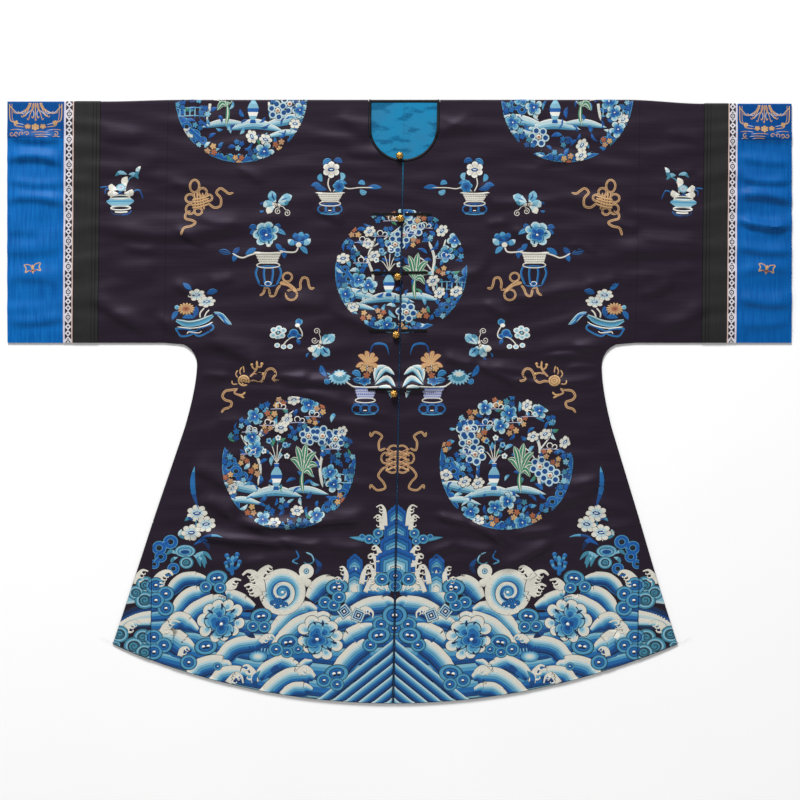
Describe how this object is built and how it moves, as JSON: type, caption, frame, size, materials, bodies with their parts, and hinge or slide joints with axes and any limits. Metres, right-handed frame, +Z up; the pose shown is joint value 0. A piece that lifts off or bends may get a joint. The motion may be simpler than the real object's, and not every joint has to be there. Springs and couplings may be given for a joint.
{
  "type": "woman's silk surcoat",
  "caption": "Wide-sleeved silk surcoat laid flat, opening down the centre front, with banded cuffs, side gores, bound neck, lining, ball buttons and corded bars.",
  "frame": {"origin": "middle of the coat's outline on the surface it lies on", "axes": "+X to the viewer's right across the coat, +Y from the hem towards the shoulder fold, +Z up out of the front"},
  "size_m": [1.41, 1.086, 0.0207],
  "materials": {
    "satin": "dark aubergine silk satin, embroidered in silk floss",
    "black_satin": "black silk satin",
    "blue_silk": "bright blue ribbed silk with couched gold thread",
    "woven_ribbon": "narrow patterned silk ribbon",
    "lining_silk": "turquoise silk damask",
    "cord": "black silk cord",
    "gilt": "worn gilt metal"
  },
  "bodies": {
    "root": {"body_left": "satin", "body_right": "satin", "gore_front_left": "satin", "gore_front_right": "satin", "gore_back_left": "satin", "gore_back_right": "satin", "sleeve_left": "satin", "sleeve_right": "satin", "black_band_left": "black_satin", "black_band_right": "black_satin", "ribbon_left": "woven_ribbon", "ribbon_right": "woven_ribbon", "cuff_left": "blue_silk", "cuff_right": "blue_silk", "neck_binding": "black_satin", "neck_lining": "lining_silk", "edge_piping_left": "lining_silk", "edge_piping_right": "lining_silk", "bar_left_2": "cord", "bar_right_2": "cord", "bar_left_3": "cord", "bar_right_3": "cord", "bar_left_4": "cord", "bar_right_4": "cord", "bar_left_5": "cord", "bar_right_5": "cord", "button_1": "gilt", "button_2": "gilt", "button_3": "gilt", "button_4": "gilt", "button_5": "gilt"}
  },
  "joints": []
}
